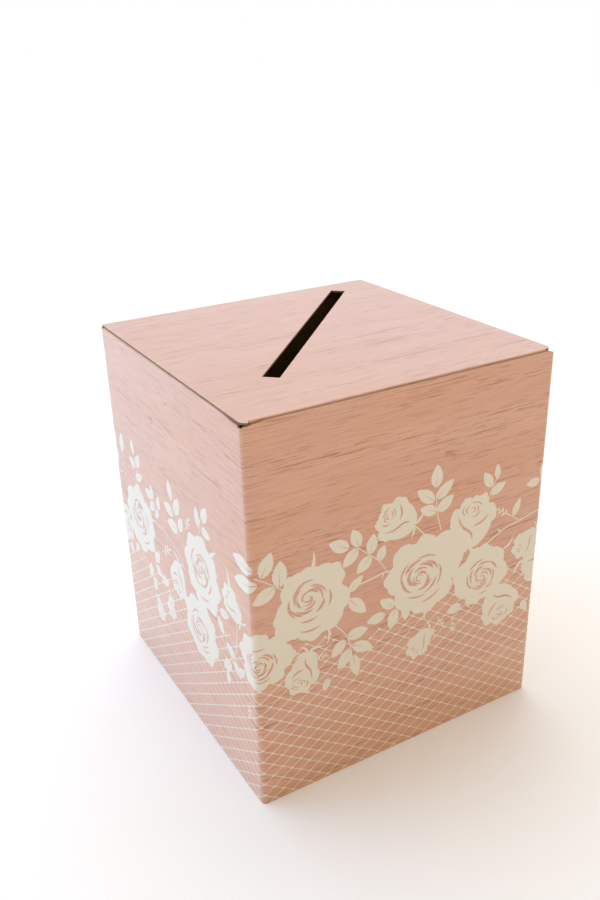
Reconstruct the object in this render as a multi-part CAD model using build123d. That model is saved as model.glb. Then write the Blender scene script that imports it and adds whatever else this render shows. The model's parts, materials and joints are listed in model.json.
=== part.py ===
from build123d import *
import os
from math import atan2, cos, degrees, hypot, radians, sin

# Wedding card box: one die-cut blank of thin corrugated board, folded into an upright square
# tube with a tuck-in lid and a snap-lock bottom. The lid has one long slanting slot for cards.
# Millimetres, +Z up, origin at the centre of the base. The lid's crease is along the top of the
# back wall (+Y), and the lid tucks in behind the front wall (-Y).
# Each panel between two creases is a piece of its own; a crease is shared out between the two
# panels that it joins, and is split at half of its angle.

# Overall sizes, outside
box_width = 250.0  # X
box_depth = 250.0  # Y
box_height = 300.0  # floor to the lid's top face

# Board and creases
board = 1.5  # thickness of the board
corner_inside = 2.5  # inside radius of the four upright corners
crease_inside = 0.3  # inside radius of the creases of lid and flaps

# Lid
lid_gap = 0.4  # between the lid's underside and the side walls' top creases
lid_side_inset = 1.0  # lid's cut edge to the side wall's outer face
lid_front_gap = 0.6  # tuck flap's crease to the front wall's inner face
lid_corner_radius = 4.5  # lid's front corners
front_wall_drop = 0.8  # front wall's cut top edge below the lid's top face
corner_drop = 0.9  # cut top edges at the upright corners, below the side walls' creases

# Card slot, from the middle of each of its short ends
slot_width = 12.5
slot_near_left = 53.5  # near end to the left wall's outer face
slot_near_front = 61.5  # near end to the front wall's outer face
slot_far_right = 40.0  # far end to the right wall's outer face
slot_far_back = 24.5  # far end to the back wall's outer face

# Tuck flap
tuck_depth = 32.0
tuck_side_gap = 5.5  # flap's end to the side wall's inner face
tuck_corner_radius = 18.0
tuck_lean = 4.0  # degrees that it leans away from the front wall

# Dust flaps
dust_slot_margin = 2.0  # flap's free edge to the card slot
dust_front_gap = 2.0  # flap to the tuck flap, at their creases
dust_corner_radius = 3.0

# Glued seam, at the back right corner
tab_width = 25.0
tab_end_gap = 8.0  # tab's ends to the floor and to the wall's top
tab_taper = 6.0  # how much shorter its free edge is, at each end
seam_inset = 1.0  # back wall's cut edge to the right wall's outer face

# Snap-lock bottom
flap_gap = 0.5  # a bottom flap's cut edges to the upright corners
main_depth = 150.0  # main flap, from the back wall
notch_width = 90.0  # notch in the main flap's free edge
notch_depth = 40.0
lock_overlap = 28.0  # lock flap's shoulders under the main flap
tongue_gap = 2.0  # each side of the tongue in the notch
tongue_overlap = 32.0  # tongue over the main flap, past the notch
ramp_start = 5.0  # tongue's rise, from the notch's mouth
ramp_end = 5.0  # tongue's rise, to the notch's closed end
side_flap_gap = 2.5  # side flaps to the tongue
bottom_corner_radius = 12.0

corner_radius = corner_inside + board
crease_radius = crease_inside + board
half_width = box_width / 2
half_depth = box_depth / 2
straight_x = half_width - corner_radius  # where the upright corners start
straight_y = half_depth - corner_radius
inner_x = half_width - board
inner_y = half_depth - board

side_top = box_height - board - lid_gap  # top of the side walls' creases
corner_top = side_top - corner_drop
front_top = box_height - front_wall_drop
seam_y = inner_y - corner_radius  # where the right wall turns in to the glue tab

lid_fold_y = half_depth - crease_radius  # centre of the lid's crease
tuck_fold_y = -inner_y + lid_front_gap + crease_radius  # centre of the tuck flap's crease
lid_fold_z = box_height - crease_radius
dust_fold_x = half_width - crease_radius  # centre of a dust flap's crease
dust_fold_z = side_top - crease_radius
tuck_half = inner_x - tuck_side_gap

slot_near = Vector(-half_width + slot_near_left, -half_depth + slot_near_front)
slot_far = Vector(half_width - slot_far_right, half_depth - slot_far_back)
slot_angle = degrees(atan2(slot_far.Y - slot_near.Y, slot_far.X - slot_near.X))
slot_length = hypot(slot_far.X - slot_near.X, slot_far.Y - slot_near.Y)
slot_right = slot_far.X + slot_width / 2 * sin(radians(slot_angle))

dust_depth = dust_fold_x - slot_right - dust_slot_margin
dust_front = tuck_fold_y + crease_inside + dust_front_gap
dust_back = seam_y - flap_gap

main_edge = inner_y - main_depth  # the main flap's free edge
notch_end = main_edge + notch_depth
tongue_half = notch_width / 2 - tongue_gap
side_flap_edge = tongue_half + side_flap_gap


def plate(x_range, y_range, z_range):
    """A flat upright or level piece of board between two corners."""
    size = [high - low for low, high in (x_range, y_range, z_range)]
    middle = [(high + low) / 2 for low, high in (x_range, y_range, z_range)]
    return Pos(*middle) * Box(*size)


def fold_section(radius, start, end):
    """Cross-section of a crease about its centre, between two angles in degrees."""
    outer = CenterArc((0, 0), radius, start, end - start)
    inner = CenterArc((0, 0), radius - board, start, end - start)
    sides = [Line(outer @ 1, inner @ 1), Line(inner @ 0, outer @ 0)]
    return make_face([outer, inner, *sides])


def upright_fold(x, y, start, end, top):
    """Part of an upright corner, from the floor to a height."""
    return extrude(Pos(x, y, 0) * fold_section(corner_radius, start, end), amount=top)


def level_fold(across, centre, start, end, length):
    """Part of a level crease that runs along the normal of the plane `across`."""
    where = Plane(centre, x_dir=across.x_dir, z_dir=across.z_dir)
    section = fold_section(crease_radius, start, end)
    return extrude(where * section, amount=length / 2, both=True)


def front_wall():
    wall = plate((-straight_x, straight_x), (-half_depth, -inner_y), (0, front_top))
    wall += upright_fold(-straight_x, -straight_y, 225, 270, front_top)
    wall += upright_fold(straight_x, -straight_y, 270, 315, front_top)
    return wall


def back_wall():
    """Its right end is a cut edge that lies over the glue tab."""
    wall = plate((-straight_x, half_width - seam_inset), (inner_y, half_depth), (0, corner_top))
    wall += plate((-straight_x, straight_x), (inner_y, half_depth), (0, lid_fold_z))
    wall += upright_fold(-straight_x, straight_y, 90, 135, corner_top)
    wall += level_fold(Plane.YZ, (0, lid_fold_y, lid_fold_z), 0, 45, 2 * straight_x)
    return wall


def dust_fold(start, end):
    """Part of the crease between the right wall and its dust flap."""
    centre = (dust_fold_x, (dust_front + dust_back) / 2, dust_fold_z)
    return level_fold(Plane.XZ, centre, start, end, dust_back - dust_front)


def side_wall(back_end, back_fold):
    """A side wall on the right, given how its back edge ends."""
    wall = plate((inner_x, half_width), (-straight_y, back_end), (0, corner_top))
    wall += upright_fold(straight_x, -straight_y, 315, 360, corner_top)
    wall += back_fold
    wall -= plate((inner_x, half_width), (dust_front, dust_back), (dust_fold_z, box_height))
    wall += dust_fold(0, 45)
    return wall


def left_wall():
    back_fold = upright_fold(straight_x, straight_y, 0, 45, corner_top)
    return mirror(side_wall(straight_y, back_fold), about=Plane.YZ)


def right_wall():
    """Its back edge turns in behind the back wall, to the glue tab."""
    back_fold = upright_fold(straight_x, seam_y, 0, 90, corner_top)
    return side_wall(seam_y, back_fold)


def glue_tab():
    bottom = tab_end_gap
    top = corner_top - tab_end_gap
    free_edge = straight_x - tab_width
    outline = Polyline(
        (straight_x, bottom),
        (free_edge, bottom + tab_taper),
        (free_edge, top - tab_taper),
        (straight_x, top),
        close=True,
    )
    return extrude(Plane.XZ.offset(-inner_y) * make_face(outline), amount=board)


def lid_panel():
    half = half_width - lid_side_inset
    depth = lid_fold_y - tuck_fold_y
    sheet = Pos(0, (lid_fold_y + tuck_fold_y) / 2) * Rectangle(2 * half, depth)
    front_corners = sheet.vertices().sort_by(Axis.Y)[:2]
    sheet = fillet(front_corners, lid_corner_radius)
    middle = (slot_near + slot_far) / 2
    sheet -= Pos(middle.X, middle.Y) * Rot(0, 0, slot_angle) * Rectangle(slot_length, slot_width)
    lid = extrude(Pos(0, 0, box_height - board) * sheet, amount=board)
    lid += level_fold(Plane.YZ, (0, lid_fold_y, lid_fold_z), 45, 90, 2 * straight_x)
    lid += level_fold(Plane.YZ, (0, tuck_fold_y, lid_fold_z), 90, 135, 2 * tuck_half)
    return lid


def tuck_flap():
    """Hangs from the lid's front crease, leaning in a little from the front wall."""
    flap = Pos(0, -tuck_depth / 2) * Rectangle(2 * tuck_half, tuck_depth)
    free_corners = flap.vertices().sort_by(Axis.Y)[:2]
    flap = fillet(free_corners, tuck_corner_radius)
    flap = extrude(Plane.XZ.offset(crease_radius) * flap, amount=-board)
    flap = Pos(0, tuck_fold_y, lid_fold_z) * Rot(tuck_lean, 0, 0) * flap
    flap += level_fold(
        Plane.YZ, (0, tuck_fold_y, lid_fold_z), 135, 180 + tuck_lean, 2 * tuck_half
    )
    return flap


def right_dust_flap():
    """Its ends slant in at 45 degrees, so that it clears the tuck flap as it swings."""
    edge = dust_fold_x - dust_depth
    outline = Polyline(
        (dust_fold_x, dust_front),
        (edge, dust_front + dust_depth),
        (edge, dust_back - dust_depth),
        (dust_fold_x, dust_back),
        close=True,
    )
    flap = make_face(outline)
    flap = fillet(flap.vertices().sort_by(Axis.X)[:2], dust_corner_radius)
    flap = extrude(Pos(0, 0, side_top - board) * flap, amount=board)
    return flap + dust_fold(45, 90)


def left_dust_flap():
    return mirror(right_dust_flap(), about=Plane.YZ)


def level_flap(outline, layer):
    """A bottom flap lying on a layer of board, counted up from the floor."""
    return extrude(Pos(0, 0, layer * board) * outline, amount=board)


def bottom_main_flap():
    """From the back wall, on top, with a notch for the lock flap's tongue."""
    half = straight_x - flap_gap
    sheet = Pos(0, inner_y - main_depth / 2) * Rectangle(2 * half, main_depth)
    sheet = fillet(sheet.vertices().sort_by(Axis.Y)[:2], bottom_corner_radius)
    sheet -= Pos(0, main_edge + notch_depth / 2) * Rectangle(notch_width, notch_depth)
    return level_flap(sheet, 2)


def bottom_right_flap():
    """The middle layer, short enough to leave the tongue its way up."""
    front = -straight_y + flap_gap
    back = seam_y - flap_gap
    size = inner_x - side_flap_edge
    sheet = Pos((inner_x + side_flap_edge) / 2, (front + back) / 2) * Rectangle(size, back - front)
    sheet = fillet(sheet.vertices().sort_by(Axis.X)[:2], bottom_corner_radius)
    return level_flap(sheet, 1)


def bottom_left_flap():
    return mirror(bottom_right_flap(), about=Plane.YZ)


def bottom_lock_flap():
    """From the front wall, underneath; its tongue rises through the notch onto the main flap."""
    half = straight_x - flap_gap
    shoulder = main_edge + lock_overlap
    sheet = Pos(0, (shoulder - inner_y) / 2) * Rectangle(2 * half, shoulder + inner_y)
    sheet = fillet(sheet.vertices().sort_by(Axis.Y)[-2:], bottom_corner_radius)
    rise_from = main_edge + ramp_start
    rise_to = notch_end - ramp_end
    tongue_top = 3 * board
    sheet -= Pos(0, (rise_from + shoulder) / 2) * Rectangle(notch_width, shoulder - rise_from)
    flap = level_flap(sheet, 0)
    line = [
        (rise_from, 0),
        (rise_to, tongue_top),
        (notch_end + tongue_overlap, tongue_top),
        (notch_end + tongue_overlap, tongue_top + board),
        (rise_to, tongue_top + board),
        (rise_from, board),
    ]
    profile = Plane.YZ * make_face(Polyline(*line, close=True))
    return flap + extrude(profile, amount=tongue_half, both=True)


pieces = {
    "front_wall": front_wall,
    "back_wall": back_wall,
    "left_wall": left_wall,
    "right_wall": right_wall,
    "glue_tab": glue_tab,
    "lid_panel": lid_panel,
    "tuck_flap": tuck_flap,
    "left_dust_flap": left_dust_flap,
    "right_dust_flap": right_dust_flap,
    "bottom_main_flap": bottom_main_flap,
    "bottom_left_flap": bottom_left_flap,
    "bottom_right_flap": bottom_right_flap,
    "bottom_lock_flap": bottom_lock_flap,
}

os.makedirs("parts", exist_ok=True)
for name, make in pieces.items():
    export_step(make(), f"parts/{name}.step")
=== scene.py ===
import cmath
import json
import math
import random

import bmesh
import bpy
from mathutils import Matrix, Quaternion, Vector, noise
from mathutils.geometry import delaunay_2d_cdt


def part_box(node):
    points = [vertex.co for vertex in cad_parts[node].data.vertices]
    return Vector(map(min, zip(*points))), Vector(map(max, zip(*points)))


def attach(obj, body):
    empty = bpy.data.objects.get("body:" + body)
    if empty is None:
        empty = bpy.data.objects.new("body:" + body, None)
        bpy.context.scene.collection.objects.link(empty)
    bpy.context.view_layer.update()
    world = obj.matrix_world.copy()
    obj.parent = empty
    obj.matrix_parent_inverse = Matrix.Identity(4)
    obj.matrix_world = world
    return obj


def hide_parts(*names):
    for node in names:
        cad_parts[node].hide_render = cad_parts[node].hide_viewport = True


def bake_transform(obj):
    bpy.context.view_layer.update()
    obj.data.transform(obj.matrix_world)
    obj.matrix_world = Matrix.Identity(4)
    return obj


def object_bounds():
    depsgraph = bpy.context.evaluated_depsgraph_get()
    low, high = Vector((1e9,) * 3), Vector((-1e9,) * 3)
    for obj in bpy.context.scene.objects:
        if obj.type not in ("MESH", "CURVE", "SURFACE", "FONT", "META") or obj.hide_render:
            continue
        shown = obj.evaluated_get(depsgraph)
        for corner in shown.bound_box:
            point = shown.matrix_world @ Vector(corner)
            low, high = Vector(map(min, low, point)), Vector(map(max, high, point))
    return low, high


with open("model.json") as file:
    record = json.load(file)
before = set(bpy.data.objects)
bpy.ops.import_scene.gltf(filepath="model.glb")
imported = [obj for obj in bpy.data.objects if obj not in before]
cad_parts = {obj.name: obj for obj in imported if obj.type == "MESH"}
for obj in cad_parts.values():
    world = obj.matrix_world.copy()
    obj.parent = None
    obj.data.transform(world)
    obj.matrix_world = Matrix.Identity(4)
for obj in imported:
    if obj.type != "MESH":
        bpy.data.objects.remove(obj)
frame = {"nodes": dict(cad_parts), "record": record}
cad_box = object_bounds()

# Wedding card box of thin corrugated board with a printed outside: a rose-coloured wood print
# with a white garland of roses over a net. Each CAD panel but the lock flap is replaced by real
# board: a printed liner, fluting and a brown inner liner. Flat layouts are in millimetres, as
# complex numbers or (p, q) pairs: p runs across the flutes, q along them. Meshes are in metres.

MM = 0.001
PI = math.pi
MILLION = 1e6


# ---------------------------------------------------------------- sizes, from the frame

def size_of(node):
    """Lowest and highest corner of a CAD node, in millimetres."""
    low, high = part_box(node)
    return low / MM, high / MM


JOINTS = {j["name"]: Vector(j["pos_m"]) / MM for j in frame["record"]["behaviour"]["joints"]}

HALF_X, HALF_Y, HEIGHT = cad_box[1] / MM
BOARD = size_of("bottom_left_flap")[1].z - size_of("bottom_left_flap")[0].z
INNER_Y = HALF_Y - BOARD
CORNER = HALF_X - size_of("glue_tab")[1].x  # outside radius of the upright corners
STRAIGHT_X = HALF_X - CORNER
STRAIGHT_Y = HALF_Y - CORNER
SEAM_Y = INNER_Y - CORNER
BACK_EDGE = size_of("back_wall")[1].x  # the back wall's cut edge, at the glued seam
FRONT_TOP = size_of("front_wall")[1].z
DUST_LOW, DUST_HIGH = size_of("right_dust_flap")
SIDE_TOP = DUST_HIGH.z
DUST_FOLD = JOINTS["right_dust_crease"]
CREASE = HALF_X - DUST_FOLD.x  # outside radius of the lid's and flaps' creases
LID_FOLD = Vector((0, HALF_Y - CREASE, HEIGHT - CREASE))
TUCK_FOLD = JOINTS["tuck_crease"]
TUCK_LOW, TUCK_HIGH = size_of("tuck_flap")
CORNER_TOP = SIDE_TOP - 0.5  # the side walls' cut edge, past the ends of their creases

# Board
LINER = 0.28
FLUTE_SHEET = 0.16
SIDE = 2 * STRAIGHT_Y + PI / 2 * CORNER  # one side of the box, middle of corner to middle
FLUTES_ON_A_SIDE = 75
PITCH = SIDE / FLUTES_ON_A_SIDE
FLUTE_STEPS = 8
INK = 0.05  # how far the white print stands proud
HAIR = 0.02  # a gap or an overlap too small to see


# ---------------------------------------------------------------- materials

class Shader:
    """A Principled material from the sheet coordinates in the UV map, or x and y without one."""

    def __init__(self, name, on_sheet=True, **values):
        self.material = bpy.data.materials.new(name)
        self.material.use_nodes = True
        self.nodes = self.material.node_tree.nodes
        self.links = self.material.node_tree.links
        self.surface = self.nodes["Principled BSDF"]
        for key, value in values.items():
            self.surface.inputs[key.replace("_", " ")].default_value = value
        if on_sheet:
            place = self.nodes.new("ShaderNodeUVMap")
            place.uv_map = "sheet"
        else:
            place = self.nodes.new("ShaderNodeTexCoord")
        split = self.nodes.new("ShaderNodeSeparateXYZ")
        self.links.new(place.outputs["UV" if on_sheet else "Object"], split.inputs[0])
        self.p, self.q = split.outputs["X"], split.outputs["Y"]

    def feed(self, socket, value):
        if isinstance(value, bpy.types.NodeSocket):
            self.links.new(value, socket)
        else:
            socket.default_value = value

    def math(self, operation, *values, clamp=False):
        node = self.nodes.new("ShaderNodeMath")
        node.operation = operation
        node.use_clamp = clamp
        for socket, value in zip(node.inputs, values):
            self.feed(socket, value)
        return node.outputs[0]

    def grain(self, per_p, per_q, detail=2.0, shift=0.0):
        """Noise with so many lumps to the metre across and along the flutes, 0 to 1."""
        vector = self.nodes.new("ShaderNodeCombineXYZ")
        self.feed(vector.inputs[0], self.math("MULTIPLY", self.p, per_p))
        self.feed(vector.inputs[1], self.math("MULTIPLY", self.q, per_q))
        vector.inputs[2].default_value = shift
        made = self.nodes.new("ShaderNodeTexNoise")
        made.inputs["Scale"].default_value = 1.0
        made.inputs["Detail"].default_value = detail
        self.links.new(vector.outputs[0], made.inputs["Vector"])
        return made.outputs["Fac"]

    def window(self, value, low, high, out_low=0.0, out_high=1.0):
        """Smooth step of a value from out_low, below low, to out_high, above high."""
        node = self.nodes.new("ShaderNodeMapRange")
        node.interpolation_type = "SMOOTHSTEP"
        for key, number in (("From Min", low), ("From Max", high), ("To Min", out_low), ("To Max", out_high)):
            node.inputs[key].default_value = number
        self.feed(node.inputs["Value"], value)
        return node.outputs[0]

    def mix(self, share, first, second):
        node = self.nodes.new("ShaderNodeMix")
        node.data_type = "RGBA"
        self.feed(node.inputs["Factor"], share)
        self.feed(node.inputs["A"], first)
        self.feed(node.inputs["B"], second)
        return node.outputs["Result"]

    def spot(self, p, q, stretch):
        """Distance in metres from a point of the sheet, shorter along the grain."""
        across = self.math("MULTIPLY", self.math("SUBTRACT", self.p, p * MM), 1 / stretch)
        along = self.math("SUBTRACT", self.q, q * MM)
        squares = self.math("ADD", self.math("POWER", across, 2.0), self.math("POWER", along, 2.0))
        return self.math("SQRT", squares)

    def bump(self, height):
        node = self.nodes.new("ShaderNodeBump")
        node.inputs["Distance"].default_value = 1.0
        self.feed(node.inputs["Height"], height)
        self.links.new(node.outputs[0], self.surface.inputs["Normal"])

    def washboard(self, ribs, fibre):
        """Height in metres of the flutes showing through the liner, and of the paper's fibre."""
        wave = self.math("SINE", self.math("MULTIPLY", self.p, 2 * PI / (PITCH * MM)))
        ribbing = self.math("MULTIPLY", wave, ribs * MM)
        fibres = self.math("MULTIPLY", self.grain(1500, 1500, 3.0, 7.0), fibre * MM)
        return self.math("ADD", ribbing, fibres)


# A satin varnish covers the whole print, and hazes it when it is seen at a low angle.
VARNISH = {
    "Roughness": 0.42,
    "IOR": 1.5,
    "Coat_Weight": 0.9,
    "Coat_Roughness": 0.36,
    "Coat_IOR": 1.5,
    "Sheen_Weight": 0.35,
    "Sheen_Roughness": 0.3,
    "Sheen_Tint": (0.80, 0.88, 1.0, 1),
}
WOOD_PALE = (0.740, 0.418, 0.285, 1)
WOOD_DEEP = (0.690, 0.350, 0.215, 1)
WOOD_MAUVE = (0.695, 0.378, 0.285, 1)
WOOD_LINE = (0.350, 0.110, 0.040, 1)


def wood_colour(made, knots=()):
    """Colour of the rose-coloured wood print, with its grain along p."""
    bands = made.window(made.grain(4, 34, 5.0), 0.30, 0.70)
    clouds = made.window(made.grain(11, 16, 3.0, 20.0), 0.35, 0.68, 0.0, 0.7)
    colour = made.mix(clouds, made.mix(bands, WOOD_DEEP, WOOD_PALE), WOOD_MAUVE)
    busy = made.window(made.grain(5, 60, 3.0, 31.0), 0.40, 0.60, 0.30, 1.0)
    fine = made.window(made.grain(30, 900, 3.0, 3.0), 0.48, 0.74, 0.0, 0.34)
    dashes = made.window(made.grain(50, 1000, 2.0, 5.0), 0.57, 0.65, 0.0, 0.62)
    streaks = made.window(made.grain(14, 380, 3.0, 11.0), 0.58, 0.68, 0.0, 0.58)
    for share in (fine, made.math("MULTIPLY", dashes, busy), made.math("MULTIPLY", streaks, busy)):
        colour = made.mix(share, colour, WOOD_LINE)
    for p, q, size in knots:
        ripple = made.math("MULTIPLY", made.grain(160, 500, 3.0, 2.0), 0.012)
        away = made.math("ADD", made.spot(p, q, 2.2), made.math("SUBTRACT", ripple, 0.006))
        heart = made.window(away, 0.0, size * MM, 0.62, 0.0)
        colour = made.mix(heart, colour, WOOD_LINE)
    return colour


def wood_print(name, knots):
    """The wood print on satin liner."""
    made = Shader(name, **VARNISH)
    made.feed(made.surface.inputs["Base Color"], wood_colour(made, knots))
    satin = made.window(made.grain(40, 300, 2.0, 9.0), 0.3, 0.7, 0.36, 0.44)
    made.feed(made.surface.inputs["Roughness"], satin)
    made.bump(made.washboard(0.015, 0.010))
    return made.material


def white_ink():
    made = Shader("white_ink", Base_Color=(0.790, 0.745, 0.645, 1), **VARNISH)
    made.bump(made.washboard(0.015, 0.010))
    return made.material


UNCOATED = {"Roughness": 0.82, "IOR": 1.45, "Specular_IOR_Level": 0.3}


def paper_colour(made, pale, deep):
    """Colour of uncoated paper: mottled, with flecks."""
    mottle = made.window(made.grain(240, 420, 4.0), 0.3, 0.7)
    flecks = made.window(made.grain(900, 1700, 2.0, 4.0), 0.62, 0.72, 0.0, 0.35)
    return made.mix(flecks, made.mix(mottle, deep, pale), tuple(0.55 * c for c in deep[:3]) + (1,))


def paper(name, *colours):
    made = Shader(name, **UNCOATED)
    made.feed(made.surface.inputs["Base Color"], paper_colour(made, *colours))
    made.bump(made.washboard(0.022, 0.02))
    return made.material


def lock_board():
    """Board of the lock flap, which keeps its CAD mesh: wood print underneath, kraft elsewhere."""
    made = Shader("lock_flap_board", on_sheet=False, **UNCOATED)
    facing = made.nodes.new("ShaderNodeNewGeometry")
    upright = made.nodes.new("ShaderNodeSeparateXYZ")
    made.links.new(facing.outputs["Normal"], upright.inputs[0])
    top = made.window(upright.outputs["Z"], -0.6, -0.4)
    colour = made.mix(top, wood_colour(made), paper_colour(made, KRAFT_PALE, KRAFT_DEEP))
    made.feed(made.surface.inputs["Base Color"], colour)
    made.bump(made.washboard(0.022, 0.02))
    return made.material


def glowing_floor_paper():
    """Plain pale studio floor that glows: painted light, faint by the box and stronger far from it, where it
    meets the white backdrop.
    """
    made = bpy.data.materials.new("pale_glowing_floor")
    made.use_nodes = True
    nodes, links = made.node_tree.nodes, made.node_tree.links
    surface = nodes["Principled BSDF"]
    surface.inputs["Roughness"].default_value = 0.9
    surface.inputs["Specular IOR Level"].default_value = 0.0
    # Painted light: the floor glows white, with a strength of 0.12 near the box rising to 0.6 three metres
    # out.
    surface.inputs["Emission Color"].default_value = (1, 1, 1, 1)
    place = nodes.new("ShaderNodeTexCoord")
    away = nodes.new("ShaderNodeVectorMath")
    away.operation = "LENGTH"
    glow = nodes.new("ShaderNodeMapRange")
    glow.interpolation_type = "SMOOTHSTEP"
    for key, number in (("From Min", 0.8), ("From Max", 3.0), ("To Min", 0.12), ("To Max", 0.6)):
        glow.inputs[key].default_value = number
    links.new(place.outputs["Object"], away.inputs[0])
    links.new(away.outputs["Value"], glow.inputs["Value"])
    links.new(glow.outputs[0], surface.inputs["Emission Strength"])
    cloud = nodes.new("ShaderNodeTexNoise")
    cloud.inputs["Scale"].default_value = 1.5
    ramp = nodes.new("ShaderNodeMix")
    ramp.data_type = "RGBA"
    ramp.inputs["A"].default_value = (0.93, 0.93, 0.93, 1)
    ramp.inputs["B"].default_value = (0.95, 0.95, 0.95, 1)
    links.new(place.outputs["Object"], cloud.inputs["Vector"])
    links.new(cloud.outputs["Fac"], ramp.inputs["Factor"])
    links.new(ramp.outputs["Result"], surface.inputs["Base Color"])
    return made


# Knots in the wood print: (p, q) on the sheet, and size, in millimetres
KNOTS = [(SIDE + 158, HEIGHT - 59, 3.2), (96, HEIGHT - 50, 3.0)]
KNOTS += [(p + 2 * SIDE, q, size) for p, q, size in KNOTS]
WOOD = wood_print("rose_wood_print", KNOTS)
WHITE = white_ink()
EDGE = paper("cut_edge_paper", (0.66, 0.55, 0.37, 1), (0.56, 0.45, 0.28, 1))
KRAFT_PALE = (0.50, 0.345, 0.19, 1)
KRAFT_DEEP = (0.42, 0.285, 0.15, 1)
KRAFT = paper("kraft_paper", KRAFT_PALE, KRAFT_DEEP)


# ---------------------------------------------------------------- sheet mesh code

class Piece:
    """Collects closed sheets into one mesh with sheet coordinates as its UV map."""

    def __init__(self, materials):
        self.mesh = bmesh.new()
        self.uv = self.mesh.loops.layers.uv.new("sheet")
        self.materials = materials

    def vertex(self, place, p, q, depth):
        made = self.mesh.verts.new(place(p, q, depth))
        return made, (p * MM, q * MM)

    def face(self, corners, material, smooth=True):
        made = self.mesh.faces.new([c[0] for c in corners])
        made.material_index = self.materials.index(material)
        made.smooth = smooth
        for loop, corner in zip(made.loops, corners):
            loop[self.uv].uv = corner[1]

    def sheet(self, co, triangles, place, near, far, skin, edge, back=None):
        """A closed sheet over flat triangles, between two depths under the outer face."""
        used = sorted({i for t in triangles for i in t})
        top = {i: self.vertex(place, *co[i], near) for i in used}
        under = {i: self.vertex(place, *co[i], far) for i in used}
        rims = {}
        for t in triangles:
            self.face([top[i] for i in t], skin)
            self.face([under[i] for i in reversed(t)], back or edge)
            for a, b in zip(t, t[1:] + t[:1]):
                if (b, a) in rims:
                    del rims[b, a]
                else:
                    rims[a, b] = True
        for a, b in rims:
            self.face([top[b], top[a], under[a], under[b]], edge, smooth=False)

    def corrugated(self, columns, place, rows, material):
        """The fluted sheet. columns is a list of (p, [(q from, q to), ...])."""
        run = []
        for column in columns + [(0, [])]:
            if run and len(column[1]) != len(run[-1][1]):
                for k in range(len(run[-1][1])):
                    self.flute_run([(p, spans[k]) for p, spans in run], place, rows, material)
                run = []
            if column[1]:
                run.append(column)

    def flute_run(self, run, place, rows, material):
        if len(run) < 2:
            return
        swing = (BOARD - 2 * LINER - FLUTE_SHEET) / 2
        sides = []
        for offset in (-FLUTE_SHEET / 2, FLUTE_SHEET / 2):
            side = []
            for p, (low, high) in run:
                depth = BOARD / 2 + swing * math.sin(2 * PI * p / PITCH) + offset
                side.append(
                    [self.vertex(place, p, low + (high - low) * r / rows, depth) for r in range(rows + 1)]
                )
            sides.append(side)
        for i in range(len(run) - 1):
            for r in range(rows):
                for side in sides:
                    quad = [side[i][r], side[i + 1][r], side[i + 1][r + 1], side[i][r + 1]]
                    self.face(quad, material)
            for r in (0, rows):
                quad = [sides[0][i][r], sides[0][i + 1][r], sides[1][i + 1][r], sides[1][i][r]]
                self.face(quad, material, smooth=False)
        for i in (0, len(run) - 1):
            for r in range(rows):
                quad = [sides[0][i][r], sides[0][i][r + 1], sides[1][i][r + 1], sides[1][i][r]]
                self.face(quad, material, smooth=False)

    def finish(self, name, body=None):
        bmesh.ops.recalc_face_normals(self.mesh, faces=self.mesh.faces)
        for edge in self.mesh.edges:
            edge.smooth = edge.calc_face_angle(0.0) < math.radians(35)
        mesh = bpy.data.meshes.new(name)
        self.mesh.to_mesh(mesh)
        self.mesh.free()
        for material in self.materials:
            mesh.materials.append(material)
        made = bpy.data.objects.new(name, mesh)
        bpy.context.scene.collection.objects.link(made)
        if body:
            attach(made, body)
        return made


def anticlockwise(outline):
    area = sum(a.real * b.imag - b.real * a.imag for a, b in zip(outline, outline[1:] + outline[:1]))
    return outline if area > 0 else outline[::-1]


def triangulate(outlines, lines=(), points=()):
    """Triangles of overlapping flat outlines: points, triangles and the outlines over each."""
    co, faces, edges = [], [], []
    for outline in outlines:
        faces.append(list(range(len(co), len(co) + len(outline))))
        co.extend(Vector((z.real, z.imag)) for z in anticlockwise(outline))
    for a, b in lines:
        edges.append((len(co), len(co) + 1))
        co.extend((Vector((a.real, a.imag)), Vector((b.real, b.imag))))
    co.extend(Vector((z.real, z.imag)) for z in points)
    made = delaunay_2d_cdt(co, edges, faces, 0, 1e-4, True)
    return made[0], [tuple(t) for t in made[2]], made[5]


MESH_STEP = 10.0  # a sheet's mesh is at least this fine, so that it can bend


def stations_between(a, b):
    """Points of a line from a up to but not including b, evenly spaced."""
    count = max(1, math.ceil(abs(b - a) / MESH_STEP - 1e-6))
    return [a + (b - a) * i / count for i in range(count)]


def grid(p_low, p_high, q_low, q_high):
    """Points within a rectangle, for the mesh over it to bend at."""
    across = math.ceil((p_high - p_low) / MESH_STEP)
    along = math.ceil((q_high - q_low) / MESH_STEP)
    return [
        complex(p_low + (p_high - p_low) * i / across, q_low + (q_high - q_low) * j / along)
        for i in range(1, across)
        for j in range(1, along)
    ]


def inside(outline, lines=(), holes=()):
    """Triangles of one outline with holes."""
    outline = [
        z for a, b in zip(outline, outline[1:] + outline[:1]) for z in stations_between(a, b)
    ]
    xs, ys = [z.real for z in outline], [z.imag for z in outline]
    points = grid(min(xs), max(xs), min(ys), max(ys))
    co, triangles, over = triangulate([outline, *holes], lines, points)
    return co, [t for t, o in zip(triangles, over) if list(o) == [0]]


def spans(loops, p):
    """Where the line across a layout at p lies inside its loops: [(q from, q to), ...]."""
    cuts = []
    for loop in loops:
        for a, b in zip(loop, loop[1:] + loop[:1]):
            if (a.real <= p) != (b.real <= p):
                cuts.append(a.imag + (b.imag - a.imag) * (p - a.real) / (b.real - a.real))
    cuts.sort()
    return [pair for pair in zip(cuts[::2], cuts[1::2]) if pair[1] - pair[0] > 0.5]


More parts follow.
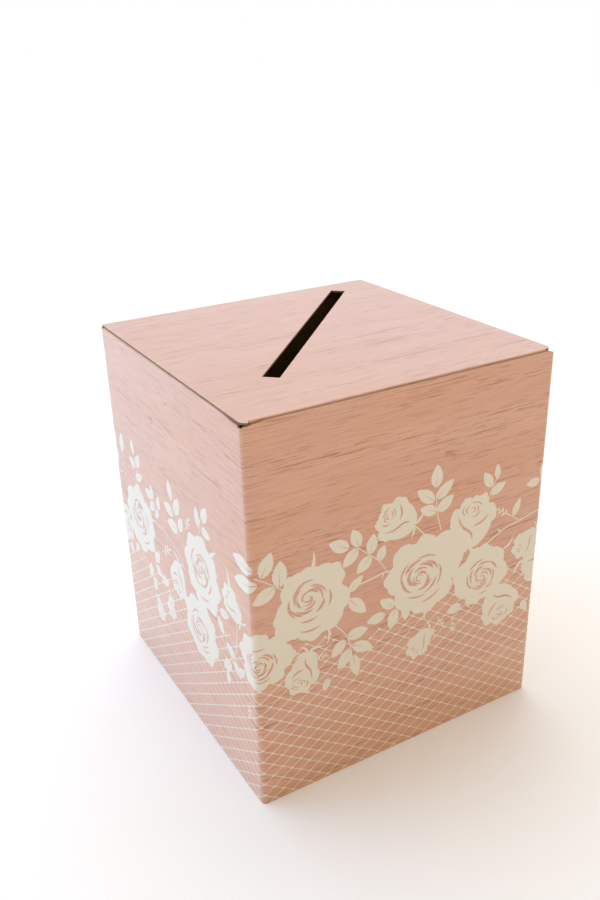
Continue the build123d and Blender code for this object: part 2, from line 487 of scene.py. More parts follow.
def board(node, body, outline, place, holes=(), lines=(), rows=8):
    """A panel of board in place of a CAD node: printed liner, fluting and inner liner."""
    co, triangles = inside(outline, lines, holes)
    liner = Piece([WOOD, EDGE])
    liner.sheet(co, triangles, place, 0.0, LINER, WOOD, EDGE)
    liner = liner.finish(f"{node}_printed_liner", body)
    core = Piece([KRAFT])
    core.sheet(co, triangles, place, BOARD - LINER, BOARD, KRAFT, KRAFT)
    low, high = min(z.real for z in outline), max(z.real for z in outline)
    count = math.ceil((high - low) / PITCH * FLUTE_STEPS)
    stations = [low + 0.01 + (high - low - 0.02) * i / count for i in range(count + 1)]
    columns = [(p, spans([outline, *holes], p)) for p in stations]
    core.corrugated(columns, place, rows, KRAFT)
    core = core.finish(f"{node}_fluting_and_inner_liner", body)
    for piece in (liner, core):
        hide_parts(node)


def cad_loops(node, facing):
    """Cut shape of a flat CAD panel: the outlines, in space, of its outermost flat face."""
    mesh = frame["nodes"][node].data
    facing = Vector(facing).normalized()
    level = max(v.co.dot(facing) for v in mesh.vertices) - 1e-5
    rims = set()
    for polygon in mesh.polygons:
        corners = [mesh.vertices[i].co for i in polygon.vertices]
        if polygon.normal.dot(facing) > 0.9999 and min(c.dot(facing) for c in corners) > level:
            keys = [tuple(round(x * MILLION) for x in c) for c in corners]
            rims ^= {(a, b) for a, b in zip(keys, keys[1:] + keys[:1])}
    return dict(edge for edge in rims if edge[::-1] not in rims)


def smooth_step(x):
    x = min(1.0, max(0.0, x))
    return x * x * (3 - 2 * x)


# Card boxes aren't dead square: the walls belly out, the top is a little wider than the base,
# and the side walls' top creases sag towards the front corners. The same field moves every
# piece but the lock flap, so that they keep meeting.
BOW = 0.5
FLARE = 1.0
DIP = 1.3
DIP_REACH = 30.0
REST = 0.25  # the lid rests on the side walls' creases


def settle(x, y, z):
    """Where a point of the dead-square box lies in the real one, in metres."""
    rise = min(1.0, max(0.0, z / HEIGHT))
    across = min(1.0, abs(x) / STRAIGHT_X)
    back = min(1.0, abs(y) / STRAIGHT_Y)
    belly = max(0.0, 1 - abs(2 * z / DUST_FOLD.z - 1) ** 4)
    wide = 1 + FLARE / HALF_X * rise
    out_x = BOW * belly * (1 - back**4) * across**6
    out_y = BOW * belly * (1 - across**4) * back**6
    side = math.copysign(1, x)
    ahead = math.copysign(1, y)
    return Vector((x * wide + side * out_x, y * wide + ahead * out_y, z)) * MM


def sag(y):
    """How far the side walls' top creases lie under their CAD height, along the wall."""
    return DIP * (1 - smooth_step((y + HALF_Y - 6) / DIP_REACH)) - REST


# ---------------------------------------------------------------- walls

FOLD_ANGLE = 5.0  # an upright corner's mesh bends every so many degrees


class Arc:
    """Part of an upright corner seen from above, from one angle in degrees to another."""

    def __init__(self, x, y, start, end):
        self.centre = complex(x, y)
        self.start = math.radians(start)
        self.length = CORNER * (math.radians(end) - self.start)
        self.steps = max(1, round((end - start) / FOLD_ANGLE))

    def at(self, distance):
        normal = cmath.rect(1, self.start + distance / CORNER)
        return self.centre + CORNER * normal, normal


class Line:
    """The flat part of a wall seen from above, with its outer face on the right."""

    def __init__(self, start_x, start_y, end_x, end_y):
        self.start = complex(start_x, start_y)
        self.length = abs(complex(end_x, end_y) - self.start)
        self.along = (complex(end_x, end_y) - self.start) / self.length
        self.steps = 1

    def at(self, distance):
        return self.start + self.along * distance, self.along * -1j


class Track:
    """The outer face of a wall seen from above, measured along its length from `start`."""

    def __init__(self, start, *parts):
        self.start = start
        self.parts = parts
        self.end = start + sum(part.length for part in parts)

    def at(self, p):
        """Point and outward normal, as complex numbers."""
        distance = p - self.start
        for part in self.parts:
            if distance <= part.length or part is self.parts[-1]:
                return part.at(distance)
            distance -= part.length

    def folds(self, low, high):
        """Upright lines for the mesh to bend at."""
        made, start = [], self.start
        for part in self.parts:
            for i in range(part.steps + 1):
                p = start + part.length * i / part.steps
                made.append((complex(p, low - 1), complex(p, high + 1)))
            start += part.length
        return made


TRACKS = {
    "left_wall": Track(
        0.0,
        Arc(-STRAIGHT_X, STRAIGHT_Y, 135, 180),
        Line(-HALF_X, STRAIGHT_Y, -HALF_X, -STRAIGHT_Y),
        Arc(-STRAIGHT_X, -STRAIGHT_Y, 180, 225),
    ),
    "front_wall": Track(
        SIDE,
        Arc(-STRAIGHT_X, -STRAIGHT_Y, 225, 270),
        Line(-STRAIGHT_X, -HALF_Y, STRAIGHT_X, -HALF_Y),
        Arc(STRAIGHT_X, -STRAIGHT_Y, 270, 315),
    ),
    "right_wall": Track(
        2 * SIDE,
        Arc(STRAIGHT_X, -STRAIGHT_Y, 315, 360),
        Line(HALF_X, -STRAIGHT_Y, HALF_X, SEAM_Y),
        Arc(STRAIGHT_X, SEAM_Y, 0, 90),
    ),
    "back_wall": Track(
        3 * SIDE + PI / 4 * CORNER - (BACK_EDGE - STRAIGHT_X),
        Line(BACK_EDGE, HALF_Y, -STRAIGHT_X, HALF_Y),
        Arc(-STRAIGHT_X, STRAIGHT_Y, 90, 135),
    ),
}


def wall_place(node):
    track = TRACKS[node]

    def place(p, q, depth):
        point, normal = track.at(p)
        point -= normal * depth
        z = q
        if node in ("left_wall", "right_wall"):
            z -= sag(point.imag) * smooth_step((q - DUST_FOLD.z + 30) / 30)
        return settle(point.real, point.imag, z)

    return place


def wall_outline(node):
    """Cut shape of a wall on its track: its top edge has steps at the ends of a crease."""
    track = TRACKS[node]
    start, end = track.start, track.end
    bottom = [complex(start, 0), complex(end, 0)]
    if node == "front_wall":
        right_drops = [(0, 1.6), (2, 1.2), (4, 0.5), (7, 0)]
        left_drops = [(0, 1.7), (3, 1.4), (7, 0.9), (10.5, 0.6), (13, 0.3), (16, 0)]
        right = [complex(end - away, FRONT_TOP - drop) for away, drop in right_drops]
        left = [complex(start + away, FRONT_TOP - drop) for away, drop in reversed(left_drops)]
        return bottom + right + left
    if node == "back_wall":
        fold_start = 3 * SIDE + PI / 4 * CORNER
        folds, level = (fold_start, fold_start + 2 * STRAIGHT_X), LID_FOLD.z
    elif node == "left_wall":
        first = start + PI / 4 * CORNER
        folds = (first + STRAIGHT_Y - DUST_HIGH.y, first + STRAIGHT_Y - DUST_LOW.y)
        level = DUST_FOLD.z
    else:
        first = start + PI / 4 * CORNER
        folds = (first + STRAIGHT_Y + DUST_LOW.y, first + STRAIGHT_Y + DUST_HIGH.y)
        level = DUST_FOLD.z
    top = [
        complex(end, CORNER_TOP),
        complex(folds[1] + HAIR, CORNER_TOP),
        complex(folds[1], level),
        complex(folds[0], level),
        complex(folds[0] - HAIR, CORNER_TOP),
        complex(start, CORNER_TOP),
    ]
    return bottom + top


for wall, track in TRACKS.items():
    board(wall, "carton", wall_outline(wall), wall_place(wall), lines=track.folds(0, HEIGHT))


# ---------------------------------------------------------------- flat panels

def loops_of(node, facing, flatten):
    """The cut shape's loops in a layout: flatten turns a point in space into p + q j."""
    after = cad_loops(node, facing)
    loops = []
    while after:
        start, here = after.popitem()
        loop = [start]
        while here != start:
            loop.append(here)
            here = after.pop(here)
        loops.append([flatten(Vector(key) / MILLION / MM) for key in loop])
    loops.sort(key=lambda loop: -max(z.real for z in loop) + min(z.real for z in loop))
    return loops


def lid_lift(x, y):
    """The lid isn't dead flat: it crowns a little, evenly over the middle, falling off towards its edges, and
    varied by noise.
    """
    edge = max(0.0, 1 - (x / HALF_X) ** 4) * max(0.0, 1 - (y / HALF_Y) ** 4)
    return 0.5 * edge * (0.6 + 0.4 * noise.noise(Vector((x / 90, y / 90, 4.0))))


def lid_place(p, q, depth):
    return settle(p, q, HEIGHT - depth + lid_lift(p, q))


def xy(point):
    return complex(point.x, point.y)


LID_CORNER_REACH = 3.3  # the lid's left front corner lies over the walls' corner


def lid_corner(z):
    if z.real > TUCK_LOW.x - 0.1 or z.imag > TUCK_FOLD.y + 9:
        return z
    return z - LID_CORNER_REACH * 1j * smooth_step((TUCK_FOLD.y + 9 - z.imag) / 9)


lid_loops = loops_of("lid_panel", (0, 0, 1), xy)
lid_outline = [lid_corner(z) for z in lid_loops[0]]
board("lid_panel", "lid", lid_outline, lid_place, holes=lid_loops[1:])

TUCK_LEAN = math.radians(4)


def tuck_place(p, q, depth):
    """q runs up from minus the flap's depth at its free edge to 0 at the crease."""
    out = CREASE - depth
    y = -out * math.cos(TUCK_LEAN) - q * math.sin(TUCK_LEAN)
    z = -out * math.sin(TUCK_LEAN) + q * math.cos(TUCK_LEAN)
    return settle(p, TUCK_FOLD.y + y, TUCK_FOLD.z + z)


def tuck_flat(point):
    offset = point - Vector((0, TUCK_FOLD.y, TUCK_FOLD.z))
    return complex(point.x, -offset.y * math.sin(TUCK_LEAN) + offset.z * math.cos(TUCK_LEAN))


tuck_facing = (0, -math.cos(TUCK_LEAN), -math.sin(TUCK_LEAN))
tuck_loops = loops_of("tuck_flap", tuck_facing, tuck_flat)
board("tuck_flap", "tuck", tuck_loops[0], tuck_place)


def dust_place(side):
    """p is y, q is the distance in from the crease."""

    def place(p, q, depth):
        return settle(side * (DUST_FOLD.x - q), p, SIDE_TOP - depth - sag(p))

    return place


for side, name in ((-1, "left_dust"), (1, "right_dust")):
    loops = loops_of(f"{name}_flap", (0, 0, 1), lambda v: complex(v.y, DUST_FOLD.x - abs(v.x)))
    board(f"{name}_flap", name, loops[0], dust_place(side))


def tab_place(p, q, depth):
    return settle(p, INNER_Y - depth, q)


board("glue_tab", "carton", loops_of("glue_tab", (0, 1, 0), lambda v: complex(v.x, v.z))[0], tab_place)


def floor_flap(node, p_of, q_of, spot):
    """A bottom flap: its printed face looks down."""
    low = size_of(node)[0].z
    loops = loops_of(node, (0, 0, -1), lambda v: complex(p_of(v), q_of(v)))

    def place(p, q, depth):
        x, y = spot(p, q)
        return settle(x, y, low + depth)

    board(node, "carton", loops[0], place, holes=loops[1:])


floor_flap("bottom_main_flap", lambda v: v.x, lambda v: v.y, lambda p, q: (p, q))
for node in ("bottom_left_flap", "bottom_right_flap"):
    floor_flap(node, lambda v: v.y, lambda v: v.x, lambda p, q: (q, p))


# ---------------------------------------------------------------- creases

def crease(name, centre, sweep, along, stretch, drop):
    """A bent strip of board across a crease: sweep is in degrees, along is the crease's axis,
    and drop is how far it sags at a place along it."""
    start, end = (math.radians(a) for a in sweep)
    steps = 8
    columns = math.ceil((stretch[1] - stretch[0]) / MESH_STEP - 1e-6)
    piece = Piece([WOOD, EDGE, KRAFT])

    def place(p, q, depth):
        radius = CREASE - depth
        turn = start + (end - start) * q
        a, b = radius * math.cos(turn), radius * math.sin(turn)
        if along == "x":
            return settle(p, centre.y + a, centre.z + b)
        return settle(centre.x + a, p, centre.z + b - drop(p))

    length = CREASE * abs(end - start)
    co, triangles = [], []
    for i in range(columns + 1):
        for j in range(steps + 1):
            co.append((stretch[0] + (stretch[1] - stretch[0]) * i / columns, j / steps))
    for i in range(columns):
        for j in range(steps):
            a = i * (steps + 1) + j
            b = a + steps + 1
            triangles += [(a, b, b + 1), (a, b + 1, a + 1)]
    piece.sheet(co, triangles, place, 0.0, LINER, WOOD, EDGE)
    piece.sheet(co, triangles, place, LINER + HAIR, BOARD, KRAFT, KRAFT)
    for face in piece.mesh.faces:
        for loop in face.loops:
            u = loop[piece.uv].uv
            u.y = u.y * length
    made = piece.finish(name)
    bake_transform(made)
    return made


def no_drop(_):
    return 0.0


crease(
    "lid_crease_strip", LID_FOLD, (0, 90), "x", (-STRAIGHT_X, STRAIGHT_X), no_drop,
)
crease(
    "tuck_crease_strip", TUCK_FOLD, (90, 180 + math.degrees(TUCK_LEAN)), "x",
    (TUCK_LOW.x, TUCK_HIGH.x), no_drop,
)
# A dust flap's strip would have to follow the wall up to this angle and the flap past it: the walls' flare
# holds it off the joint's axis, and bent evenly it would swell up into the lid. The strips below are still
# bent evenly; the angle only sets parting, which nothing uses.
DUST_PARTING = 73.0
for side, name in ((-1, "left_dust"), (1, "right_dust")):
    middle = Vector((side * DUST_FOLD.x, 0, DUST_FOLD.z))
    sweep = (0, 90) if side > 0 else (180, 90)
    parting = cmath.rect(HAIR, math.radians(DUST_PARTING))
    crease(
        f"{name}_crease_strip", middle, sweep, "y", (DUST_LOW.y, DUST_HIGH.y), sag,
    )


# ---------------------------------------------------------------- the lock flap keeps its CAD shape

lock = frame["nodes"]["bottom_lock_flap"]
lock.data.materials.clear()
lock.data.materials.append(lock_board())

# ---------------------------------------------------------------- printed garland

ink = []  # (white or bare, outline), later over earlier, in mm from the left wall's back corner


def put(white, outline):
    ink.append((white, outline))


def laid(shape, at, turn, size=1.0):
    """A unit shape, drawn with its base at 0 and its tip along x, in its place."""
    spin = cmath.rect(size, math.radians(turn))
    return [at + z * spin for z in shape]


def catmull(points, steps=6):
    """A smooth line through points."""
    padded = [2 * points[0] - points[1], *points, 2 * points[-1] - points[-2]]
    made = []
    for a, b, c, d in zip(padded, padded[1:], padded[2:], padded[3:]):
        for i in range(steps):
            t = i / steps
            square = (2 * a - 5 * b + 4 * c - d) * t**2
            cube = (3 * b - a - 3 * c + d) * t**3
            made.append(0.5 * (2 * b + (c - a) * t + square + cube))
    return made + [points[-1]]


def stroke(white, points, width):
    """A line of a width that is a function of its share of the length."""
    path = catmull(points)
    left, right = [], []
    for i, here in enumerate(path):
        step = path[min(i + 1, len(path) - 1)] - path[max(i - 1, 0)]
        side = step / abs(step) * 1j * max(0.04, width(i / (len(path) - 1))) / 2
        left.append(here + side)
        right.append(here - side)
    put(white, left + right[::-1])


def stem(*points, thick=1.05):
    stroke(True, [complex(*p) for p in points], lambda t: thick * (1 - 0.25 * t))


def thorn(x, y, turn, length=4.5):
    shape = [-0.16j - 0.1, 0.55 - 0.06j, 1.0 + 0.05j, 0.5 + 0.08j, 0.22j - 0.1]
    put(True, laid(shape, complex(x, y), turn, length))


def sliver(white, at, radii, sweep, thick, squash=1.0, turn=0.0):
    """A crescent along a spiral arc about a point, pointed at both ends."""
    steps = max(6, round(abs(sweep[1] - sweep[0]) / 16))
    outer, inner = [], []
    spin = cmath.rect(1, math.radians(turn))
    for i in range(steps + 1):
        t = i / steps
        radius = radii[0] + (radii[1] - radii[0]) * t
        half = max(0.02, thick / 2 * math.sin(PI * t) ** 0.75)
        ray = cmath.rect(1, math.radians(sweep[0] + (sweep[1] - sweep[0]) * t))
        for side, made in ((half, outer), (-half, inner)):
            z = ray * (radius + side)
            made.append(at + complex(z.real, z.imag * squash) * spin)
    put(white, outer + inner[::-1])


def leaf_shape(width):
    edge = []
    steps = 16
    for i in range(1, steps):
        t = i / steps
        half = width / 2 * math.sin(PI * t**0.85) ** 0.78 * (1.04 if i % 2 else 0.96)
        edge.append(complex(t, half))
    return [0j] + [z.conjugate() for z in edge] + [1 + 0j] + edge[::-1]


def leaf(x, y, turn, length, width=0.56):
    """A leaf by its middle, with a bare slit for its midrib."""
    base = complex(x, y) - cmath.rect(length / 2, math.radians(turn))
    put(True, laid(leaf_shape(width), base, turn, length))
    put(False, laid([-0.02 - 0.017j, 0.66, -0.02 + 0.017j], base, turn, length))


def leaves(shift, *rows):
    for x, y, turn, length, *width in rows:
        leaf(x + shift, y, turn, length, *width)


def spike(x, y, turn, length, curl=0.18):
    """A thin curved sepal from its base."""
    shape = [0.08j, 0.3 + (0.10 + curl) * 1j, 0.65 + (0.07 + curl) * 1j, 1.0, 0.6 + (curl - 0.06) * 1j]
    shape += [0.28 + (curl - 0.10) * 1j, -0.08j]
    put(True, laid(shape, complex(x, y), turn, length))


def petal(at, radius, turn, draw, tip=0.1):
    """A ruffled petal, a little pointed on its outer side."""
    a, b = draw.uniform(0, 2 * PI), draw.uniform(0, 2 * PI)
    shape = []
    steps = 54
    for i in range(steps):
        angle = 2 * PI * i / steps
        scallop = abs(math.sin(3.5 * angle + a + 0.5 * math.sin(2 * angle + b))) ** 0.7
        ruffle = 0.93 + 0.10 * scallop + 0.04 * math.sin(3 * angle + b)
        off = (angle + PI) % (2 * PI) - PI
        ruffle += tip * math.exp(-((off / 0.3) ** 2))
        shape.append(cmath.rect(ruffle, angle))
    put(True, laid(shape, at, turn, radius))


def rose(x, y, radius, seed, heart=(0, 0), turn=0.0):
    """An open rose from the front: ruffled outer petals, and rings of bare crescents."""
    draw = random.Random(seed)
    at = complex(x, y)
    petals = 8
    for k in range(petals):
        angle = turn + 360 / petals * k + draw.uniform(-10, 10)
        reach = radius * draw.uniform(0.50, 0.60)
        petal(at + cmath.rect(reach, math.radians(angle)), radius * draw.uniform(0.38, 0.48), angle, draw)
    put(True, laid([cmath.rect(0.68, 2 * PI * i / 28) for i in range(28)], at, 0, radius))
    heart = at + complex(*heart)
    rings = [(0.055, 1, 0.050, 300), (0.130, 2, 0.058, 140), (0.215, 3, 0.068, 96), (0.310, 3, 0.078, 88)]
    rings += [(0.410, 4, 0.078, 68), (0.510, 4, 0.062, 62)]
    start = draw.uniform(0, 360)
    for share, count, thick, span in rings:
        for k in range(count):
            first = start + 360 / count * k + draw.uniform(-12, 12)
            length = span * draw.uniform(0.8, 1.15)
            middle = heart + (at - heart) * share + cmath.rect(0.02 * radius, draw.uniform(0, 2 * PI))
            radii = (radius * share, radius * (share + draw.uniform(0.03, 0.07)))
            bare = radius * thick * draw.uniform(0.8, 1.2)
            sliver(False, middle, radii, (first, first + length), bare, 0.93, turn)
        start += 47
    low = draw.uniform(40, 80)
    sliver(False, at, (radius * 0.66, radius * 0.70), (low, low + 48), radius * 0.055)


def bloom(x, y, turn, length, width, seed, rings=3, sepals=4):
    """A rose or bud from the side: x, y is its calyx, and it opens along turn."""
    draw = random.Random(seed)
    at = complex(x, y)
    wide = width / length

    def spot(a, b):
        return at + complex(a, b * wide) * cmath.rect(length, math.radians(turn))

    for k in range(sepals):
        side = -1 if k % 2 else 1
        swing = side * (62 + 48 * (k // 2) + draw.uniform(-12, 12))
        spike(x, y, turn + swing, length * draw.uniform(0.30, 0.46), 0.14 * side)
    cup = [complex(-0.04, -0.10), complex(0.08, -0.32), complex(0.32, -0.48), complex(0.62, -0.48)]
    cup += [complex(0.86, -0.30), complex(0.90, 0.0)]
    cup += [z.conjugate() for z in reversed(cup[:-1])]
    closed = catmull([cup[-1], *cup, cup[0]], 5)[5:-6]
    put(True, [spot(z.real, z.imag) for z in closed])
    ruffles = [(0.58, -0.34, 0.24), (0.58, 0.34, 0.24), (0.84, -0.20, 0.16), (0.86, 0.18, 0.16)]
    for a, b, size in ruffles + [(0.72, 0.0, 0.26)]:
        petal(spot(a, b), length * size * (0.55 + 0.45 * wide), turn + b * 120, draw, 0.14)
    heart = spot(0.74, draw.uniform(-0.06, 0.06))
    start = draw.uniform(0, 360)
    squash = 0.72 * (0.6 + 0.4 * wide)
    for ring in range(rings):
        share = 0.05 + 0.075 * ring
        for k in range(1 + ring):
            first = start + 360 / (1 + ring) * k
            span = 250 / (1 + ring) * draw.uniform(0.85, 1.05)
            radii = (length * share, length * (share + 0.03))
            sliver(False, heart, radii, (first, first + span), length * 0.036, squash, turn + 90)
        start += 70

    def thin(t):
        return length * 0.05 * math.sin(PI * t) ** 0.8

    stroke(False, [spot(0.66, -0.40), spot(0.44, -0.26), spot(0.28, -0.02), spot(0.12, 0.06)], thin)
    if rings > 2:
        stroke(False, [spot(0.60, 0.40), spot(0.46, 0.24), spot(0.40, 0.02)], thin)


def sprig(x, y, turn, length):
    """A tiny twig with small leaves."""
    at = complex(x, y)
    ray = cmath.rect(1, math.radians(turn))
    stroke(True, [at, at + ray * length * 0.5, at + ray * length], lambda t: 0.7 * (1 - 0.5 * t))
    for share, side in ((0.35, 1), (0.5, -1), (0.72, 1), (0.85, -1), (1.0, 0)):
        tip = at + ray * length * share
        put(True, laid(leaf_shape(0.4), tip, turn + 48 * side, length * 0.36))


# The net is 33 meshes long on two sides of the box, so that it closes round all four.
NET_WIDE = 2 * SIDE / 33
NET_HIGH = 10.36
NET_FIRST = 8.8 + SIDE, 204.0  # one knot, from the front wall's left edge and from the top
NET_LINE = 0.62

# Top edge of the net: distances along two sides, and down from the box's top
NET_TOP = [(0, 199), (30, 188), (80, 190), (130, 176), (190, 186), (206, 170), (SIDE, 172)]
NET_TOP += [(SIDE + 60, 169), (SIDE + 84, 184), (SIDE + 120, 176), (SIDE + 160, 172)]
NET_TOP += [(SIDE + 222, 167), (SIDE + 240, 176), (2 * SIDE, 199)]


def net_top(u):
    for (a, va), (b, vb) in zip(NET_TOP, NET_TOP[1:]):
        if a <= u <= b:
            return va + (vb - va) * (u - a) / (b - a)
    return NET_TOP[0][1]


def net():
    dx, dy = NET_WIDE / 2, NET_HIGH / 2
    for column in range(-40, 42):
        u = NET_FIRST[0] + column * dx
        if not -dx <= u <= 2 * SIDE - dx / 2:
            continue
        for row in range(-12, 24):
            v = NET_FIRST[1] + row * dy
            if (column + row) % 2 or v < net_top(u % (2 * SIDE)) or v > HEIGHT + dy:
                continue
            at = complex(u, v)
            for away in (complex(dx, dy), complex(-dx, dy)):
                side = away / abs(away) * 1j * NET_LINE / 2
                put(True, [at + side, at + away + side, at + away - side, at - side])
            corner = [1.75 + 0j, 0.72 + 0.55j]
            half = corner + [1.25j] + [-z.conjugate() for z in corner[1:]]
            put(True, [at + z for z in half + [-z for z in half]])


def left_side():
    """Stems and leaves on the left wall, then its roses."""
    stem((74, 143), (90, 143), (106, 142), (121, 146), (138, 154))
    thorn(106, 143, 88)
    stem((50, 118), (50, 106), (47, 97), thick=0.8)
    stem((90, 138), (88, 127), (84, 120), thick=0.8)
    stem((128, 136), (128, 122), (124, 108), thick=0.8)
    stem((171, 116), (173, 104), (176, 97), thick=0.8)
    stem((225, 150), (224, 166), (220, 184))
    stem((20, 128), (17, 112), (18, 104), thick=0.8)
    stem((70, 186), (76, 196), (70, 208), thick=0.8)
    stem((99, 202), (94, 190), (86, 180), thick=0.9)
    stem((196, 166), (207, 180), (214, 196), thick=0.9)
    leaves(
        0,
        (19, 97, -75, 19), (2, 98, -82, 17), (45.5, 91, -98, 14), (55, 100, -55, 16), (41.5, 106, 195, 15),
        (54, 115, -25, 18, 0.45), (73, 121, 185, 15), (81, 117, -105, 13), (79, 130, 140, 15),
        (93.5, 121, -75, 14), (88.5, 133, 135, 12), (121, 98, -100, 17), (132, 107, -58, 19),
        (115.5, 116, 190, 18), (137, 120, -60, 16), (121, 128, 178, 20), (170, 98, -100, 16),
        (183, 91, -57, 17), (183.5, 105.5, 5, 15), (205.5, 159, -15, 16, 0.5), (198, 173, 60, 15),
        (212, 186, 200, 15), (221, 197, 40, 15), (205, 203, 140, 17), (228, 195, -40, 13),
        (60, 199, 120, 17), (67, 209, 100, 15), (80, 190, 20, 15), (92, 193, -15, 17), (79, 177, -50, 17),
        (205, 214, 95, 12), (30, 192, 140, 13), (14, 200, 100, 12),
    )
    sprig(146, 120, -55, 13)
    sprig(92, 165, -30, 17)
    sprig(238, 214, 100, 12)
    spike(187, 125, -42, 18, -0.12)
    spike(217, 134, -100, 19, 0.05)
    spike(70, 144, -15, 14, 0.1)
    rose(48, 156, 31, 3, (-2, -3))
    rose(160, 198, 29, 14, (-4, 4), 20)
    rose(170, 145, 31, 8, (0, -4), 10)
    bloom(-12, 170, 20, 36, 32, 5)
    bloom(127, 160, 108, 33, 25, 21)
    bloom(102, 204, 100, 21, 14, 33, 2)
    bloom(230, 151, 215, 28, 21, 40, 2)
    bloom(70, 222, 70, 20, 14, 51, 2)


def front_side(x0):
    """Stems and leaves on the front wall, then its roses; x0 is the wall's left edge."""

    def at(*points):
        return [(x + x0, y) for x, y in points]

    stem(*at((4, 108), (14, 115), (26, 125)), thick=0.8)
    stem(*at((83, 110), (93, 119), (101, 127), (108, 138)), thick=0.8)
    stem(*at((80, 140), (95, 138.5), (107, 137), (120, 142)), thick=1.25)
    thorn(x0 + 104, 138, 96)
    stem(*at((64, 166), (73, 178), (77, 191), (78, 202)), thick=0.8)
    stem(*at((128, 105), (133, 110), (140, 118)), thick=1.2)
    stem(*at((154, 118), (150, 103), (148, 86)), thick=0.8)
    stem(*at((203.5, 90), (200, 97), (196, 106)), thick=0.8)
    stem(*at((198, 143), (214, 135.5), (229, 132.5), (252, 128.5), (262, 127)), thick=1.2)
    thorn(x0 + 210, 136, -128)
    stem(*at((229, 132.5), (222, 127), (214, 121.5)), thick=0.8)
    stem(*at((112, 164), (118, 168), (124, 164)), thick=0.8)
    stem(*at((246, 150), (256, 146)), thick=1.1)
    leaves(
        x0,
        (-8, 101, 188, 24, 0.5), (-7, 115.5, 170, 27, 0.45), (13, 101, -65, 19), (22.5, 110.5, -86, 20),
        (10.5, 124, 152, 19), (68, 104, 208, 18), (81.5, 102, -110, 16), (77, 116, 137, 17),
        (94.5, 110.5, -80, 15.5, 0.6), (88, 125, 139, 16, 0.6), (102.5, 120.5, -70, 13, 0.6),
        (81, 138, -40, 16, 0.45), (82.5, 156.5, 48, 21, 0.48), (82.5, 179.5, -4, 18), (66.5, 187, 132, 16),
        (87, 193, 27, 20, 0.5), (71.5, 198, 130, 17.5), (80.5, 207, 80, 20, 0.45), (108, 164, 216, 16),
        (98.5, 173.5, 175, 16), (113, 179, 105, 17), (119, 160, 222, 16, 0.5), (124.5, 176, 92, 17, 0.5),
        (148.5, 73.5, -89, 18), (139.5, 86.5, 219, 20, 0.48), (156, 85.5, -38, 19, 0.48),
        (142, 98.5, 203, 16), (157, 97, -36, 17), (195.5, 89, 239, 16, 0.5), (204, 84.5, -93, 13, 0.42),
        (205.5, 98.5, -25, 15.5, 0.5), (225.5, 120, -68, 15.5, 0.42), (240.5, 103.5, 178, 14, 0.52),
        (251, 95, -100, 17), (253, 111, 75, 17), (248, 176, 185, 15), (246, 189, 196, 14),
        (169.5, 191, 172, 14, 0.62), (242, 214, 60, 12), (56, 214, 110, 11),
    )
    sprig(x0 + 219, 125.5, 216, 12)
    sprig(x0 + 154, 192, 62, 10)
    sprig(x0 + 169, 199, 88, 10)
    sprig(x0 + 47, 186, 18, 9)
    spike(x0 + 46, 116, -82, 15, 0.08)
    spike(x0 + 59, 168, 100, 12, -0.1)
    spike(x0 + 216, 153, -48, 13, 0.15)
    spike(x0 + 181, 186, 62, 12, 0.1)
    spike(x0 + 213, 166, 28, 12, 0.1)
    spike(x0 + 144, 180, 100, 12, 0.1)
    rose(x0 + 6, 175, 24, 27, (-3, 4))
    rose(x0 + 46, 142, 31, 2, (-4, -6))
    bloom(x0 + 129, 106, 209, 33, 29, 61)
    bloom(x0 + 181, 140, -84, 41, 37, 71)
    rose(x0 + 194, 168, 26.5, 12, (2, 4), 15)
    petal(complex(x0 + 160, 138), 19, -60, random.Random(4))
    rose(x0 + 140, 150, 34, 9, (-5, 2), 5)
    bloom(x0 + 42, 181, 106, 33, 22, 81)
    bloom(x0 + 208, 187, 66, 35, 33, 91)
    bloom(x0 + 147, 202, 137, 25, 18, 101, 2)
    bloom(x0 + 248, 148, 146, 26, 20, 111, 2)


net()
left_side()
front_side(SIDE - 2)


def print_wall(node):
    """The white print on a wall: flat outlines united, cut to the wall, and laid on it."""
    track = TRACKS[node]
    window = wall_outline(node)
    margin = 0.15
    low, high = track.start + margin * (node == "back_wall"), track.end
    window = [
        complex(min(max(z.real, low), high), z.imag - margin if z.imag > HEIGHT / 2 else margin)
        for z in window
    ]
    outlines, white = [window], [False]
    for shift in (-2 * SIDE, 0, 2 * SIDE):
        for is_white, outline in ink:
            xs = [z.real + shift for z in outline]
            if max(xs) > track.start - 1 and min(xs) < track.end + 1:
                outlines.append([complex(z.real + shift, HEIGHT - z.imag) for z in outline])
                white.append(is_white)
    points = grid(low, high, 0, HEIGHT)
    co, triangles, over = triangulate(outlines, track.folds(0, HEIGHT), points)
    kept = [t for t, o in zip(triangles, over) if 0 in o and white[max(o)]]
    piece = Piece([WHITE])
    piece.sheet(co, kept, wall_place(node), -INK, HAIR, WHITE, WHITE)
    piece.finish(f"{node}_rose_print", "carton")


for wall in TRACKS:
    print_wall(wall)


# ---------------------------------------------------------------- floor, light and camera

def stage():
    """A flat floor 12 m square, just under the box."""
    mesh = bmesh.new()
    reach, segments = 6.0, 8
    bmesh.ops.create_grid(mesh, x_segments=segments, y_segments=segments, size=reach)
    data = bpy.data.meshes.new("floor")
    mesh.to_mesh(data)
    mesh.free()
    data.materials.append(glowing_floor_paper())
    floor = bpy.data.objects.new("floor", data)
    floor.location.z = -0.0002
    bpy.context.scene.collection.objects.link(floor)


def soft_light(name, at, size, power, colour):
    """A square soft box that looks at the middle of the box."""
    data = bpy.data.lights.new(name, "AREA")
    data.shape = "SQUARE"
    data.size = size
    data.energy = power
    data.color = colour
    lamp = bpy.data.objects.new(name, data)
    lamp.location = at
    aim = Vector((0, 0, HEIGHT * MM / 2)) - Vector(at)
    lamp.rotation_mode = "QUATERNION"
    lamp.rotation_quaternion = aim.to_track_quat("-Z", "Y")
    bpy.context.scene.collection.objects.link(lamp)


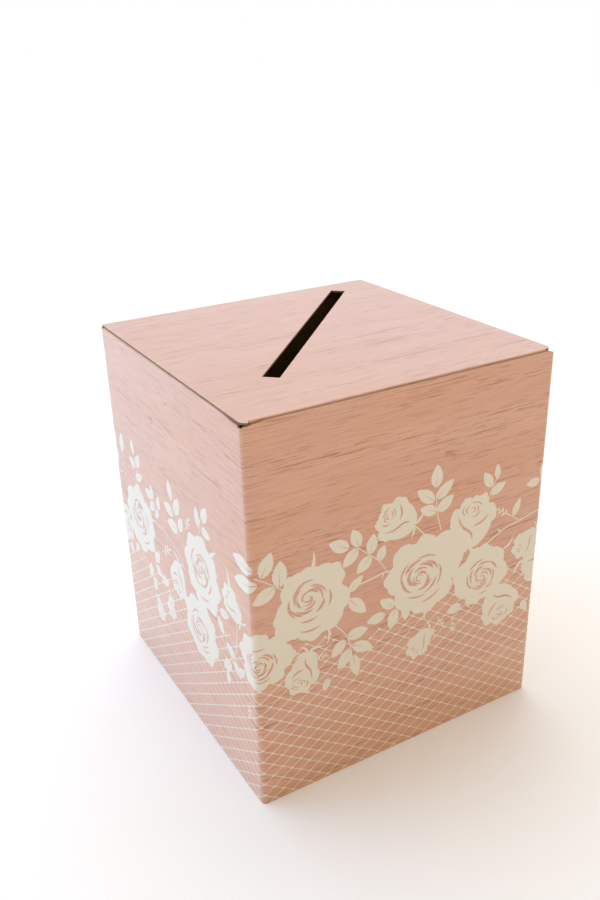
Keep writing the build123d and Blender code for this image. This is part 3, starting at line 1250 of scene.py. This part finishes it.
def studio(bright_side, bright, dim):
    """Even light all round, stronger on one side of the studio, in front of plain white."""
    world = bpy.data.worlds.new("studio")
    world.use_nodes = True
    nodes, links = world.node_tree.nodes, world.node_tree.links
    place = nodes.new("ShaderNodeTexCoord")
    towards = nodes.new("ShaderNodeVectorMath")
    towards.operation = "DOT_PRODUCT"
    towards.inputs[1].default_value = Vector(bright_side).normalized()
    share = nodes.new("ShaderNodeMapRange")
    share.interpolation_type = "SMOOTHSTEP"
    share.inputs["From Min"].default_value = -0.3
    share.inputs["From Max"].default_value = 0.5
    mix = nodes.new("ShaderNodeMix")
    mix.data_type = "RGBA"
    mix.inputs["A"].default_value = dim
    mix.inputs["B"].default_value = bright
    links.new(place.outputs["Generated"], towards.inputs[0])
    links.new(towards.outputs["Value"], share.inputs["Value"])
    links.new(share.outputs[0], mix.inputs["Factor"])
    seen = nodes.new("ShaderNodeLightPath")
    plain = nodes.new("ShaderNodeMix")
    plain.data_type = "RGBA"
    plain.inputs["B"].default_value = (1, 1, 1, 1)
    links.new(seen.outputs["Is Camera Ray"], plain.inputs["Factor"])
    links.new(mix.outputs["Result"], plain.inputs["A"])
    links.new(plain.outputs["Result"], nodes["Background"].inputs["Color"])
    bpy.context.scene.world = world


LENS = 36.82
CAMERA_PLACE = (-0.3424, -0.5795, 0.5095)
CAMERA_AIM = Vector((0.4480, 0.7933, -0.4123))
CAMERA_ROLL = -1.7  # degrees


def camera():
    data = bpy.data.cameras.new("camera")
    data.lens = LENS
    made = bpy.data.objects.new("camera", data)
    made.location = CAMERA_PLACE
    roll = Quaternion((0, 0, 1), math.radians(CAMERA_ROLL))
    made.rotation_mode = "QUATERNION"
    made.rotation_quaternion = CAMERA_AIM.to_track_quat("-Z", "Y") @ roll
    bpy.context.scene.collection.objects.link(made)
    bpy.context.scene.camera = made


stage()
studio((-0.1, 0.95, 0.3), (1.02, 1.05, 1.14, 1), (0.40, 0.32, 0.19, 1))
soft_light("top_soft", (0.3, 0.9, 2.3), 1.8, 15, (1.0, 0.96, 0.84))
soft_light("left_back", (-1.45, 1.2, 0.85), 1.5, 13.5, (0.28, 0.56, 1.0))
soft_light("warm_front", (0.9, -2.4, 1.0), 2.4, 9, (1.0, 0.55, 0.06))
camera()
bpy.context.scene.view_settings.view_transform = "Standard"
